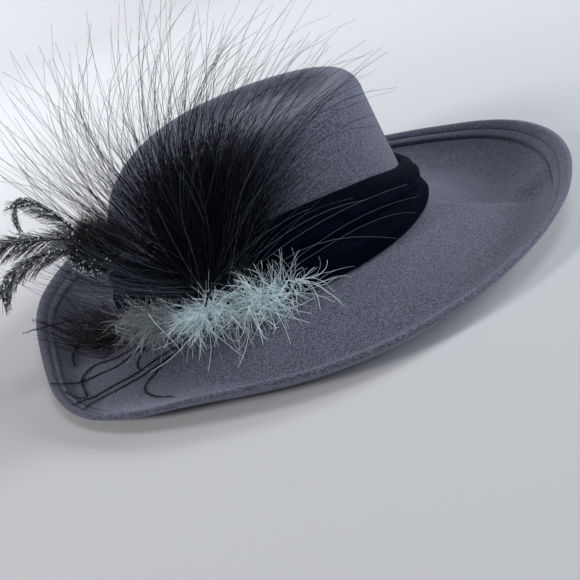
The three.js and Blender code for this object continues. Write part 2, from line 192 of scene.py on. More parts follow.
def lay_brim(row, angle):
    """The brim's section laid all round, wavering a little towards the rim."""
    names, values, heights = zip(*brim_profile)
    kinds = np.array(names)[row]
    across = np.array(values)[row]
    above = np.array(heights)[row]
    width = around(BRIM_WIDTH, angle)
    hems = np.array([float(name[4:]) if name.startswith("hem") else 0 for name in names])[row]
    from_rim = width - around(HEM_WIDTH, angle) * hems - across
    distance = np.where(kinds == "share", across * width, from_rim)
    right = -((np.degrees(angle) + 180) % 360 - 180)
    start, end, fade = NEAR_HEM["from"], NEAR_HEM["to"], NEAR_HEM["fade"]
    near = ramp(right, start, start + fade) * (1 - ramp(right, end, end + fade))
    folded = np.array([name.startswith(("hem 1", "hem 0.")) for name in names])[row]
    above = np.where(folded, FELT + (above - FELT) * (1 - NEAR_HEM["flat"] * near), above)
    waver = sum(size * np.sin(waves * angle + phase) for size, waves, phase in WAVER)
    lift = above + waver * np.clip(distance / width - 0.6, 0, 1)
    points = brim_point(angle, distance, lift)
    collar = kinds == "collar"
    points[collar] = oval(angle[collar], across[collar], OPENING_HEIGHT + above[collar])
    return points


brim = drawn_up("felt_brim", steps=360, rows=len(brim_profile), lay=lay_brim)
closed_up(brim)


class Value:
    """A number or colour on its way through a finish."""

    def __init__(self, finish, socket):
        self.finish = finish
        self.socket = socket

    def combined(self, operation, other):
        """The result of one sum or product with a number or another value."""
        return self.finish.node("ShaderNodeMath", {"operation": operation}, {0: self, 1: other})

    def __add__(self, other):
        return self.combined("ADD", other)

    def __mul__(self, other):
        return self.combined("MULTIPLY", other)


class Finish:
    """A material round one Principled shader, with the constants set on its own sockets."""

    def __init__(self, name, constants):
        self.material = bpy.data.materials.new(name)
        self.material.use_nodes = True
        self.tree = self.material.node_tree
        self.shader = self.tree.nodes["Principled BSDF"]
        for socket, value in constants.items():
            self.shader.inputs[socket].default_value = value

    def node(self, kind, settings, inputs, output=0):
        """Adds one node, sets it, feeds it, and gives one of its outputs."""
        node = self.tree.nodes.new(kind)
        for key, value in settings.items():
            setattr(node, key, value)
        for key, value in inputs.items():
            if isinstance(value, Value):
                self.tree.links.new(value.socket, node.inputs[key])
            else:
                node.inputs[key].default_value = value
        return Value(self, node.outputs[output])

    def noise(self, place, scale, detail=3.0, roughness=0.55, distortion=0.0):
        """Cloudy noise in object coordinates, scale being the spots in a metre."""
        sockets = {"Vector": place, "Scale": scale, "Detail": detail, "Roughness": roughness}
        sockets["Distortion"] = distortion
        return self.node("ShaderNodeTexNoise", {}, sockets)

    def step(self, value, low, high):
        """0 below low, 1 over high, and smooth between them."""
        sockets = {"Value": value, "From Min": low, "From Max": high}
        return self.node("ShaderNodeMapRange", {"interpolation_type": "SMOOTHSTEP"}, sockets)

    def between(self, share, first, second):
        """A mix of two colours."""
        return self.node("ShaderNodeMix", {"data_type": "RGBA"}, {0: share, 6: first, 7: second}, 2)

    def feed(self, socket, value):
        """Joins a value to a socket of the Principled shader."""
        self.tree.links.new(value.socket, self.shader.inputs[socket])

    def bump(self, height, strength, distance):
        """Raises the surface by a height, in the shading alone."""
        sockets = {"Strength": strength, "Distance": distance, "Height": height}
        self.feed("Normal", self.node("ShaderNodeBump", {}, sockets))

    def put_on(self, piece):
        """Gives a piece this finish and no other."""
        piece.data.materials.clear()
        piece.data.materials.append(self.material)


felt = Finish("charcoal wool felt", {
    "Roughness": 0.92, "Specular IOR Level": 0.25, "Sheen Weight": 0.35, "Sheen Roughness": 0.6,
    "Sheen Tint": (0.72, 0.74, 0.9, 1),
})
spot = felt.node("ShaderNodeTexCoord", {}, {}, "Object")
grain = felt.noise(spot, scale=1350, detail=2, roughness=0.5)
mottle = felt.noise(spot, scale=500, detail=3, roughness=0.65, distortion=0.4)
clouds = felt.noise(spot, scale=22, detail=3, roughness=0.5)
worn = felt.step(grain * 0.8 + mottle * 0.2, low=0.42, high=0.58)
felt_colour = felt.between(worn, (0.026, 0.03, 0.048, 1), (0.16, 0.176, 0.238, 1))
faded = felt.step(clouds, low=0.35, high=0.7) * 0.25
felt_colour = felt.between(faded, felt_colour, (0.1, 0.096, 0.128, 1))
felt.feed("Base Color", felt_colour)
felt.bump(grain * 0.6 + mottle * 0.7, strength=0.55, distance=0.0006)
felt.put_on(brim)
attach(brim, "root")
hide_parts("brim")

# The crown. A second piece of the same felt, blocked over a form into an oval with near-upright
# sides, a round shoulder that runs down at the back, and a shallow dent in the tip.
DENT = 8.0
DENT_EDGE = 0.03
DENT_RAMP = 0.3
FOOT_LIFT = 0.3
# Columns of millimetres at the front, left, back and right: how far the wall leans in, the whole
# height, and how far in and down the shoulder turns
CROWN_LEAN = [15, 6, 8, 6]
CROWN_HEIGHT = [94, 91, 82, 91]
SHOULDER_IN = [12, 20, 44, 20]
SHOULDER_DROP = [14, 18, 36, 18]
wall_levels = np.linspace(0, 1, 14)
shoulder_levels = np.linspace(1.08, 2, 12)
tip_levels = np.linspace(2.05, 3, 20)
crown_levels = np.concatenate([wall_levels, shoulder_levels, tip_levels])


def crown_point(angle, level):
    """The crown's outer face: level 0 is its foot, 1 the wall's top, 2 the lip, 3 the middle."""
    lean = around(CROWN_LEAN, angle)
    height = around(CROWN_HEIGHT, angle)
    inward = around(SHOULDER_IN, angle)
    drop = around(SHOULDER_DROP, angle)
    foot = OPENING_HEIGHT + FOOT_LIFT
    wall = height - drop
    level = np.broadcast_to(level, np.shape(angle))
    up = np.clip(level, 0, 1)
    turn = np.radians(90 * np.clip(level - 1, 0, 1))
    outside = -lean * up**0.85 - inward * (1 - np.cos(turn))
    side = oval(angle, outside, foot + wall * up + drop * np.sin(turn))
    share = np.clip(3 - level, 0, 1)
    middle = foot + around(CROWN_HEIGHT, np.array([math.pi / 2, -math.pi / 2])).mean()
    dent = ramp(1 - share, DENT_EDGE, DENT_EDGE + DENT_RAMP) * DENT
    tip = side * share[..., None]
    tip[..., 2] = middle + (side[..., 2] - middle) * share - dent
    return np.where((level > 2)[..., None], tip, side)


def lay_crown(row, angle):
    """The crown's levels laid all round."""
    return crown_point(angle, crown_levels[row])


crown = drawn_up("felt_crown", steps=240, rows=len(crown_levels), lay=lay_crown)
closed_up(crown)
inner_face = crown.modifiers.new("felt wall", "SOLIDIFY")
inner_face.thickness = FELT * MM
inner_face.offset = -1
bpy.ops.object.modifier_apply(modifier=inner_face.name)
felt.put_on(crown)
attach(crown, "root")
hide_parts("crown")

# The band. A bias strip of black velvet, gathered round the foot of the crown in two soft padded
# folds with its raw edges turned under, and caught down with stitches below the trim.
VELVET = 0.7
BAND_FLOOR = FELT + 0.3
FRONT_FULLNESS = 0.3
LEAST_OFF = 0.9
TOP_EDGE_OFF = 1.2
# Height of the band's top over the crown's foot, evenly spaced round the hat from its front
BAND_TOP = [27, 28, 36, 42, 42, 41, 40, 41, 44.5, 48.5, 43, 31.5]
BAND_FOLDS = [
    # share of the height and how far the velvet stands off the felt
    (0, 4.6), (0.08, 6.8), (0.2, 7.6), (0.34, 6.4), (0.43, 4.4), (0.53, 6.8), (0.74, 6.8),
    (0.95, 3.8), (1, 1.6),
]
# Fine creases: depth, how many go round the hat, how they slant up the band, and start
CREASES = [(0.4, 9, 26, 0), (0.3, 17, -34, 1), (0.16, 31, 19, 2)]
band_shares = np.linspace(0, 1, 40)


def crown_side(angle, above_foot, off):
    """A point off the crown's wall, at a height over its foot."""
    wall_height = around(CROWN_HEIGHT, angle) - around(SHOULDER_DROP, angle)
    outward = oval(angle, 1.0, 0.0) - oval(angle, 0.0, 0.0)
    return crown_point(angle, above_foot / wall_height) + outward * np.asarray(off)[..., None]


def smooth_curve(table, x):
    """The smooth open curve through a short table of pairs."""
    xs = np.array([a for a, _ in table], float)
    ys = np.array([b for _, b in table], float)
    slopes = np.gradient(ys, xs)
    k = np.clip(np.searchsorted(xs, x) - 1, 0, len(xs) - 2)
    span = xs[k + 1] - xs[k]
    t = (x - xs[k]) / span
    first = (1 + 2 * t) * (1 - t) ** 2 * ys[k] + t * (1 - t) ** 2 * span * slopes[k]
    second = t * t * (3 - 2 * t) * ys[k + 1] + t * t * (t - 1) * span * slopes[k + 1]
    return first + second


def lay_band(row, angle):
    """The band's folds laid all round, fuller at the front, with fine creases over them."""
    share = band_shares[row]
    wander = share + 0.035 * np.sin(2 * angle + 0.6) * np.sin(math.pi * share)
    bulge = smooth_curve(BAND_FOLDS, np.clip(wander, 0, 1))
    bulge = bulge * (1 + FRONT_FULLNESS * np.maximum(0, np.cos(angle)))
    creases = sum(deep * np.sin(count * angle + slant * share + phase)
                  for deep, count, slant, phase in CREASES)
    bulge = bulge + creases * np.sin(math.pi * share) ** 0.7
    bulge = np.where(share > 0.999, TOP_EDGE_OFF, bulge)
    top = around(BAND_TOP, angle)
    height = BAND_FLOOR + (top - BAND_FLOOR) * share
    return crown_side(angle, height, np.maximum(bulge, LEAST_OFF))


band = drawn_up("velvet_drape", steps=288, rows=len(band_shares), lay=lay_band)
closed_up(band, smooth=math.radians(80))
cloth = band.modifiers.new("velvet", "SOLIDIFY")
cloth.thickness = VELVET * MM
cloth.offset = -1
bpy.ops.object.modifier_apply(modifier=cloth.name)

velvet = Finish("black velvet", {
    "Roughness": 0.85, "Specular IOR Level": 0.05, "Sheen Weight": 0.035, "Sheen Roughness": 0.3,
    "Sheen Tint": (0.08, 0.42, 1.0, 1),
})
spot = velvet.node("ShaderNodeTexCoord", {}, {}, "Object")
pile = velvet.noise(spot, scale=1500, detail=2, roughness=0.6)
flattened = velvet.node("ShaderNodeMapping", {}, {"Vector": spot, "Scale": (1, 1, 3)})
crushed = velvet.noise(flattened, scale=60, detail=4, roughness=0.6, distortion=1.5)
specks = velvet.step(velvet.noise(spot, scale=900, detail=1, roughness=0.4), low=0.73, high=0.8)
dust = specks * velvet.step(velvet.noise(spot, scale=45, detail=2), low=0.52, high=0.62)
rubbed = velvet.step(crushed, low=0.45, high=0.75)
velvet_colour = velvet.between(rubbed, (0.0002, 0.001, 0.006, 1), (0.0008, 0.004, 0.014, 1))
velvet_colour = velvet.between(dust * 0.5, velvet_colour, (0.09, 0.1, 0.11, 1))
velvet.feed("Base Color", velvet_colour)
velvet.bump(pile * 0.4 + crushed * 0.5, strength=0.35, distance=0.0007)
velvet.put_on(band)
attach(band, "root")
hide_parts("velvet_band")

# The feather pad. A ball of black down sewn behind the crown over the band, that the fronds come
# out of: a dense round heart with fine loose down standing off it all round, longer and browner
# on top.
pad_low, pad_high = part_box("feather_pad")
pad_middle = np.array((pad_low + pad_high) / 2)
pad_size = np.array(pad_high - pad_low) / 2
draw = np.random.default_rng(20)


def unit(vectors):
    """Vectors brought to length 1."""
    return vectors / (np.linalg.norm(vectors, axis=-1, keepdims=True) + 1e-12)


def spun(name, paths, radii, shade):
    """Joins many fine strands, three-sided and closed, as one mesh with a shade for each."""
    count, length, _ = paths.shape
    along = unit(np.gradient(paths, axis=1))
    side = np.cross(along[:, 0], draw.normal(size=(count, 3)))
    sides = []
    for k in range(length):
        side = unit(side - along[:, k] * (side * along[:, k]).sum(1, keepdims=True))
        sides.append(side)
    sides = np.stack(sides, 1)
    others = np.cross(along, sides)
    turns = np.arange(3) * 2 * math.pi / 3
    ring = np.cos(turns)[:, None] * sides[:, :, None] + np.sin(turns)[:, None] * others[:, :, None]
    points = paths[:, :, None] + ring * radii[:, :, None, None]
    strand = (np.arange(count) * length * 3)[:, None]
    first = strand[:, :, None] + (np.arange(length - 1) * 3)[None, :, None]
    here = first + np.arange(3)
    after = first + (np.arange(3) + 1) % 3
    walls = np.stack([here, after, after + 3, here + 3], -1).reshape(-1, 4)
    roots = strand + np.array([2, 1, 0])
    tips = strand + np.array([0, 1, 2]) + (length - 1) * 3
    mesh = bpy.data.meshes.new(name)
    faces = walls.tolist() + roots.tolist() + tips.tolist()
    mesh.from_pydata(points.reshape(-1, 3).tolist(), [], faces)
    tone = mesh.attributes.new("shade", "FLOAT", "POINT")
    tone.data.foreach_set("value", np.repeat(shade, length * 3).astype(np.float32))
    mesh.polygons.foreach_set("use_smooth", np.ones(len(mesh.polygons), bool))
    piece = bpy.data.objects.new(name, mesh)
    bpy.context.scene.collection.objects.link(piece)
    return piece


def tapered(count, length, root, tip, power=1.0):
    """Radii that fall from root to tip along each strand."""
    one = root + (tip - root) * np.linspace(0, 1, length) ** power
    return np.broadcast_to(one, (count, length)).copy()


def curled(starts, headings, reach, length, curl, droop=0.0, wander=0.35):
    """Strands that leave their starts by their headings and curl as they go."""
    count = len(starts)
    heading = unit(headings)
    bend = unit(np.cross(heading, draw.normal(size=(count, 3)))) * curl[:, None]
    points = [starts]
    for _ in range(length - 1):
        heading = unit(heading + bend / (length - 1) + np.array([0, 0, -droop / (length - 1)]))
        bend = bend + draw.normal(size=(count, 3)) * np.abs(curl[:, None]) * wander
        points.append(points[-1] + heading * (reach / (length - 1))[:, None])
    return np.stack(points, 1)


def glints(count, share, low=0.4):
    """Shades that are dark but for a share of light strands, painted as glints where strands catch the
    light.
    """
    light = draw.random(count) < share
    return np.where(light, draw.uniform(low, 1, count), draw.uniform(0, 0.05, count))


def strand_finish(name, dark, light, roughness, shine=0.3, sheen=0.0):
    """A feather's finish, between its dark and its light strands; the light strands that glints picks
    out are painted highlights.
    """
    finish = Finish(name, {
        "Roughness": roughness, "Specular IOR Level": shine, "Sheen Weight": sheen,
        "Sheen Tint": (0.72, 0.86, 1.0, 1),
    })
    tone = finish.node("ShaderNodeAttribute", {"attribute_name": "shade"}, {}, "Fac")
    finish.feed("Base Color", finish.between(tone, dark, light))
    return finish


# Sizes of the heart, and of the shell that the loose down starts on, as shares of the pad's
HEART = 0.84
DOWN_SHELL = 0.82
bpy.ops.object.select_all(action="DESELECT")
bpy.ops.mesh.primitive_ico_sphere_add(subdivisions=5, radius=1)
heart = bpy.context.object
heart.name = heart.data.name = "down_heart"
for corner in heart.data.vertices:
    way = np.array(corner.co)
    tuck = 1 + 0.05 * math.sin(9 * math.atan2(way[2], way[0])) * math.sin(4 * way[1] + 1)
    corner.co = pad_middle + way * tuck * pad_size * HEART
bpy.ops.object.shade_smooth()
heart_finish = Finish("black down heart", {
    "Base Color": (0.002, 0.0025, 0.004, 1), "Roughness": 0.9, "Specular IOR Level": 0.1,
})
place = heart_finish.node("ShaderNodeTexCoord", {}, {}, "Object")
ruffle = heart_finish.noise(place, scale=900, detail=4, roughness=0.7)
heart_finish.bump(ruffle, strength=0.9, distance=0.001)
heart_finish.put_on(heart)
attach(heart, "root")
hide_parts("feather_pad")

PAD_DOWN = 3200
DOWN_STEPS = 6
DOWN_CURL = 0.9
SWEPT_BACK = np.array([-0.2, -0.1, 0.35])
ways = unit(draw.normal(size=(PAD_DOWN, 3)))
on_top = ways[:, 2] > 0.45
reach = draw.uniform(0.002, 0.006, PAD_DOWN)
reach = reach + np.where(on_top, draw.uniform(0.001, 0.009, PAD_DOWN), 0)
starts = pad_middle + ways * pad_size * DOWN_SHELL
headings = ways + draw.normal(size=(PAD_DOWN, 3)) * 0.5 + SWEPT_BACK
brown = on_top & (draw.random(PAD_DOWN) < 0.5)
# A few strands all round take the light colour as painted glints.
tones = np.where(brown, draw.uniform(0.3, 0.9, PAD_DOWN), glints(PAD_DOWN, 0.03))
down_paths = curled(starts, headings, reach, DOWN_STEPS, np.full(PAD_DOWN, DOWN_CURL))
down_radii = tapered(PAD_DOWN, DOWN_STEPS, root=0.00012, tip=0.00004)
down = spun("down_fuzz", down_paths, down_radii, tones)
black_down = strand_finish("black down", dark=(0.003, 0.0035, 0.005, 1), light=(0.12, 0.11, 0.1, 1),
                           roughness=0.7, shine=0.15)
black_down.put_on(down)
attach(down, "root")

# The fan. Fine black hair-like flues of a stripped feather, bound at one root beside the band and
# spread up over the crown: a short dense heart, long ones that thin out to single hairs, and
# ones with a larger share of light strands, painted glints, that lie back towards the pad or
# forward over the velvet.
FAN_ROOT = np.array([-56.0, -79.5, 42.0])
FAN_WAIST = np.array([6.5, 1.3, 2.0])
FAN_REACH = (30, 166)
FAN_LEAN = (-80, 92)
FAN_STEPS = 11
BEND_SPREAD = 14
LEAN_OUT_SPREAD = 6
FAN_BUNCHES = [
    # count, lean to the front, its spread, bend that way, reach, its spread, lean out, share of light
    # strands painted as glints
    (1650, 4, 18, 8, 81, 12, 10, 0.12),
    (700, 36, 12, 16, 82, 14, 10, 0.18),
    (190, 58, 12, 10, 72, 16, 10, 0.25),
    (60, -2, 22, 8, 110, 14, 7, 0.05),
    (60, -27, 12, 22, 150, 18, 6, 0.05),
    (70, 6, 12, 30, 150, 14, 6, 0.05),
    (75, 30, 11, 34, 140, 16, 7, 0.12),
    (60, 52, 8, 22, 144, 14, 7, 0.25),
    (60, -44, 6, 28, 120, 20, 8, 0.20),
    (170, -70, 5, 56, 84, 14, 7, 0.45),
]
CLEARANCE = [
    # height, and how far outside the opening's oval the crown and the band reach there
    (0, 10.5), (60, 10.5), (70, 0), (96, -4), (112, -14), (125, -85),
]
OVER_THE_TIP = 124


def clear_of_crown(points):
    """Moves points, in millimetres round the crown's axis, out of the crown and the band."""
    x, y, z = points[..., 0], points[..., 1], points[..., 2]
    heights, swells = zip(*CLEARANCE)
    swell = np.interp(z, heights, swells)
    ratio = np.sqrt((x / (OPENING[0] + swell)) ** 2 + (y / (OPENING[1] + swell + 0.01)) ** 2)
    push = np.where((ratio < 1) & (z < OVER_THE_TIP), 1 / np.maximum(ratio, 0.05), 1)
    return np.stack([x * push, y * push, z], -1)


def fan_strands(count, lean, lean_spread, bend, reach, reach_spread, lean_out):
    """One bunch of the fan, as paths in millimetres round the crown's axis."""
    leans = np.radians(np.clip(draw.normal(lean, lean_spread, count), *FAN_LEAN))
    far = np.clip(draw.normal(reach, reach_spread, count), *FAN_REACH)
    bend = np.radians(draw.normal(bend, BEND_SPREAD, count)) * np.clip(far / 90, 0.5, 1.5)
    out = np.radians(draw.normal(lean_out, LEAN_OUT_SPREAD, count))
    wave = draw.uniform(-0.09, 0.09, (count, 2))
    beat = draw.uniform(4, 9, count)
    point = FAN_ROOT + draw.normal(size=(count, 3)) * FAN_WAIST
    points = [point]
    for k in range(1, FAN_STEPS):
        s = k / (FAN_STEPS - 1)
        angle = leans * (0.6 + 0.4 * s) + bend * (s * s - 0.25) + wave[:, 0] * np.sin(beat * s)
        lie = out * (1.5 - 1.0 * s) + wave[:, 1] * np.cos(beat * s)
        level = np.cos(lie)
        heading = np.stack([np.sin(angle) * level, -np.sin(lie), np.cos(angle) * level], -1)
        point = point + heading * (far / (FAN_STEPS - 1))[:, None]
        points.append(point)
    return clear_of_crown(np.stack(points, 1))


# Single fan hairs laid over the velvet in the light colour: painted glints for hairs that catch the
# light.
PAINTED_LIT_HAIRS = [
    # angle round the hat, height over the crown's foot and distance off its wall
    [(240, 27, 12), (256, 38, 14), (272, 44, 14), (292, 38, 14)],
    [(242, 22, 12), (262, 36, 14), (282, 40, 14), (312, 30, 15)],
    [(246, 16, 13), (266, 28, 15), (286, 32, 15), (314, 20, 16)],
    [(254, 20, 14), (272, 26, 15), (290, 26, 15), (309, 14, 16)],
    [(243, 12, 13), (262, 30, 16), (280, 26, 16), (300, 5, 15)],
    [(240, 34, 12), (254, 54, 12), (268, 62, 12), (284, 62, 12)],
]


def by_the_wall(route, steps):
    """A smooth path, in millimetres, through places beside the crown's wall."""
    places = np.array(route, float)
    points = crown_side(np.radians(places[:, 0]), places[:, 1], places[:, 2])
    t = np.linspace(0, 1, steps)
    knots = np.linspace(0, 1, len(points))
    fits = [np.polyfit(knots, points[:, k], len(points) - 1) for k in range(3)]
    return np.stack([np.polyval(fit, t) for fit in fits], -1)


fan_paths = np.concatenate([fan_strands(*bunch[:-1]) for bunch in FAN_BUNCHES])
fan_paths = np.concatenate([fan_paths, [by_the_wall(route, FAN_STEPS) for route in PAINTED_LIT_HAIRS]])
fan_tones = [glints(bunch[0], bunch[-1]) for bunch in FAN_BUNCHES]
fan_tones = np.concatenate(fan_tones + [np.ones(len(PAINTED_LIT_HAIRS))])
fan_radii = tapered(len(fan_paths), FAN_STEPS, root=0.0002, tip=0.00008, power=1.1)
fan_radii *= draw.uniform(0.7, 1.15, len(fan_paths))[:, None]
fan = spun("feather_fan", in_place(fan_paths), fan_radii, fan_tones)
# The fan's light colour is a painted glint.
fan_finish = strand_finish("black flue", dark=(0.0008, 0.0016, 0.006, 1), light=(0.13, 0.16, 0.2, 1),
                           roughness=0.5, shine=0.16)
fan_finish.put_on(fan)
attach(fan, "root")
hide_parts("plume_burst")

# The down tuft. Icy blue-grey down laid along the foot of the band and tacked to it: curly barbs
# that burst from a few hubs of a hidden quill, pale and full in front, with a painted glow for the
# light that comes through them, and thin and beige behind.
TUFT_STEPS = 12
TUFT_REACH = (5, 40)
HUB = np.array([4.2, 2.2, 2.6])
# Barbs come in pairs that part as they go
PER_LOCK = 2
PARTING = 0.16
# Strength of the painted glow on the palest barbs
PAINTED_GLOW_STRENGTH = 0.14
TUFT_BURSTS = [
    # angle round the hat and its spread, distance out, height, barbs, reach, its spread, curl,
    # way they point (0 forward along the band, 90 up) and its spread, paleness
    (262, 1.0, 12, 31, 34, 16, 7, 1.2, 5, 50, 0.85),
    (259, 0.8, 11, 34, 26, 15, 3, 0.3, 85, 12, 0.85),
    (257, 1.2, 13, 30, 80, 12, 4, 1.2, 0, 180, 0.95),
    (251, 1.0, 15, 30, 120, 12, 5, 1.2, 0, 180, 1.00),
    (251, 2.5, 14, 31, 110, 18, 6, 0.9, 130, 30, 1.00),
    (250, 2.0, 16, 29, 60, 19, 6, 0.8, 295, 30, 0.95),
    (245, 2.0, 15, 27, 60, 13, 5, 2.2, 0, 180, 0.75),
    (241, 2.0, 14, 32, 70, 16, 5, 1.6, 0, 180, 0.75),
    (236, 1.5, 16, 34, 130, 12, 4, 1.8, 0, 180, 1.00),
    (235, 1.5, 16, 34, 140, 21, 8, 0.9, 168, 34, 0.95),
    (236, 1.5, 16, 34, 40, 16, 5, 0.9, 60, 60, 0.95),
    (234, 1.5, 16, 32, 50, 15, 5, 1.3, 285, 30, 0.95),
    (228, 3.0, 16, 27, 80, 11, 4, 2.8, 285, 60, 0.85),
    (223, 2.5, 15, 33, 150, 17, 6, 1.6, 165, 60, 0.60),
    (217, 3.5, 16, 32, 440, 13, 4, 2.4, 0, 180, 0.22),
    (210, 2.5, 14, 31, 260, 11, 4, 2.6, 0, 180, 0.12),
]


def tuft_barbs(angle, scatter, out, height, barbs, reach, spread, curl, way, ways, pale):
    """The barbs of one burst, as paths in millimetres and their shades."""
    count = barbs // PER_LOCK
    angle = np.radians(np.full(count, angle) + draw.normal(0, scatter, count))
    outward = unit(oval(angle, 1.0, 0.0) - oval(angle, 0.0, 0.0))
    forward = np.stack([-outward[:, 1], outward[:, 0], np.zeros(count)], -1)
    starts = oval(angle, out, height) + draw.normal(size=(count, 3)) * HUB
    turn = np.radians(way + draw.uniform(-1, 1, count) * ways)
    face = draw.uniform(-0.3, 0.8, count)
    heading = forward * np.cos(turn)[:, None] + outward * (face - 0.4 * np.sin(turn))[:, None]
    heading = heading + np.stack([np.zeros(count), np.zeros(count), np.sin(turn) * 0.8], -1)
    far = np.clip(draw.normal(reach, spread, count), *TUFT_REACH)
    curls = draw.normal(0, curl + 0.7, count)
    leaders = curled(starts, heading, far, TUFT_STEPS, curls, droop=0.2, wander=0.22)
    parting = draw.normal(size=(count * PER_LOCK, TUFT_STEPS, 3)) * PARTING
    paths = np.repeat(leaders, PER_LOCK, axis=0) + np.cumsum(np.cumsum(parting, 1), 1)
    tones = draw.uniform(0.25, 1.9, count * PER_LOCK)
    return paths, pale * np.clip(tones, 0, 1)


def over_brim(paths, gap):
    """Lifts points, in millimetres round the crown's axis, that would sink into the brim."""
    angle = np.arctan2(paths[..., 1] / OPENING[1], paths[..., 0] / OPENING[0])
    distance = np.linalg.norm(paths[..., :2] - oval(angle, 0.0, 0.0)[..., :2], axis=-1)
    floor = brim_point(angle, np.clip(distance, 3, 60), FELT + gap)[..., 2]
    lifted = paths.copy()
    lifted[..., 2] = np.maximum(paths[..., 2], floor)
    return lifted


tufts = [tuft_barbs(*burst) for burst in TUFT_BURSTS]
tuft_paths = clear_of_crown(np.concatenate([paths for paths, _ in tufts]))
tuft_paths = over_brim(tuft_paths, gap=0.5)
tuft_radii = tapered(len(tuft_paths), TUFT_STEPS, root=0.0002, tip=0.00011, power=1.3)
tuft_radii *= (0.45 + 1.3 * draw.random(len(tuft_paths)) ** 2)[:, None]
tuft_tones = np.concatenate([tones for _, tones in tufts])
tuft = spun("blue_down_tuft", in_place(tuft_paths), tuft_radii, tuft_tones)
blue_down = strand_finish("icy blue down", dark=(0.19, 0.17, 0.14, 1), light=(0.82, 0.97, 1.0, 1),
                          roughness=0.4, shine=0.6, sheen=1.0)
# The palest barbs get a painted glow: emission that stands in for light shining through the down.
tone = blue_down.node("ShaderNodeAttribute", {"attribute_name": "shade"}, {}, "Fac")
palest = blue_down.step(tone, low=0.5, high=1.0)
painted_glow = blue_down.between(palest, (0, 0, 0, 1), (0.75, 0.94, 1.0, 1))
blue_down.feed("Emission Color", painted_glow)
blue_down.shader.inputs["Emission Strength"].default_value = PAINTED_GLOW_STRENGTH
blue_down.put_on(tuft)
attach(tuft, "root")
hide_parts("marabou_tuft")

# The herl. Thin black curled strands with a short nap, tucked under the down tuft, that lie and
# curl on the near back of the brim, one looped up over the tuft, and a bundle of finer ones that
# fans out behind it.
HERL_ROUTES = [
    # angle round the hat, distance from the crown and height over the felt
    [(207, 8, 5), (199.5, 12, 2), (194, 17, 0.7), (189, 24, 0.6), (187, 33, 0.6), (190, 42, 0.6),
     (194.5, 49, 0.6), (199.5, 53.5, 0.6), (202.8, 57.5, 0.8), (203.4, 61.5, 1.6), (201, 64, 2.3),
     (198.5, 64, 2.3)],
    [(209, 9, 5), (203, 12, 1.5), (198.5, 18, 0.6), (195, 27, 0.6), (193.6, 37, 0.6), (194.3, 48, 0.6),
     (194.6, 57, 1.6), (194, 67, 2.4)],
    [(230, 5, 6), (226, 8, 3), (220, 11, 1), (213, 16.5, 0.6), (207, 26, 0.6), (204, 41, 0.6),
     (204.4, 56, 0.7), (205.2, 66, 2.2), (205.6, 72, 2.4)],
    [(233, 7, 6), (228, 9, 3), (222, 13, 0.8), (215.5, 19, 0.6), (209.5, 29, 0.6), (207, 43, 0.6),
     (206.6, 57, 0.7), (208.5, 68, 2.2), (209.5, 73, 2.4)],
    [(229, 6, 6), (225, 8, 3), (221, 12, 0.9), (217.3, 18, 0.7), (214.6, 26, 0.7), (214, 34, 0.7),
     (215.6, 41, 0.7), (218.5, 46, 0.7), (222, 49, 0.7), (226, 50, 0.7)],
    [(209, 9, 5), (205, 14, 1.2), (204.4, 18, 0.7), (205.8, 22, 0.6), (208.5, 24, 0.6)],
    [(196, 8, 8), (186, 14, 4), (175, 20, 2), (168.5, 30, 1), (168, 36, 0.7), (172, 41, 0.6),
     (179, 43.5, 0.6), (185, 45, 0.6)],
    [(196, 12, 9), (191, 22, 16), (187, 34, 25), (184, 46, 29), (184, 62, 25), (185, 76, 18)],
    [(198, 11, 8), (190, 18, 9), (180, 28, 10), (171, 42, 8), (167, 56, 6), (168, 66, 6)],
    [(237.5, 14, 30), (240.5, 12, 38), (244.5, 10, 42), (249, 9, 42), (252.5, 9, 38), (255.5, 9, 31)],
]
HERL_STEPS = 60
NAP_STEPS = 5
STEPS_BETWEEN = 24
# The bundle's count is set high so that its black strands also darken the brim behind the tuft: real
# strands, and in part painted shade for the fan's shadow there.
BUNDLE = 270


def through(points, steps):
    """Evenly spaced points of the smooth curve through some points."""
    points = np.asarray(points, float)
    padded = np.concatenate([2 * points[:1] - points[1:2], points, 2 * points[-1:] - points[-2:-1]])
    t = np.linspace(0, 1, STEPS_BETWEEN, endpoint=False)[:, None]
    fours = zip(padded, padded[1:], padded[2:], padded[3:])
    fine = [spline(a, b, c, d, t) for a, b, c, d in fours]
    fine = np.concatenate(fine + [points[-1:]])
    along = np.concatenate([[0], np.cumsum(np.linalg.norm(np.diff(fine, axis=0), axis=1))])
    places = np.linspace(0, along[-1], steps)
    return np.stack([np.interp(places, along, fine[:, k]) for k in range(3)], -1)


def on_brim(route, steps):
    """A smooth path through places over the brim, given as the rows of a route."""
    places = np.array(route, float)
    return through(brim_point(np.radians(places[:, 0]), places[:, 1], FELT + places[:, 2]), steps)


def napped(lines, per_millimetre, nap, lean, radius):
    """Short fine barbs all along some lines, leaning towards the tips, and their radii."""
    starts, headings = [], []
    for line in lines:
        length = np.linalg.norm(np.diff(line, axis=0), axis=1).sum()
        place = draw.random(int(length * per_millimetre)) * (len(line) - 1.01)
        k = place.astype(int)
        t = (place - k)[:, None]
        along = unit(line[k + 1] - line[k])
        starts.append(line[k] * (1 - t) + line[k + 1] * t)
        headings.append(unit(np.cross(along, draw.normal(size=(len(k), 3)))) + along * lean)
    starts, headings = np.concatenate(starts), np.concatenate(headings)
    reach = draw.uniform(0.4, 1.2, len(starts)) * nap
    paths = curled(starts, headings, reach, NAP_STEPS, draw.normal(0, 0.6, len(starts)))
    return paths, tapered(len(starts), NAP_STEPS, radius, radius * 0.3)


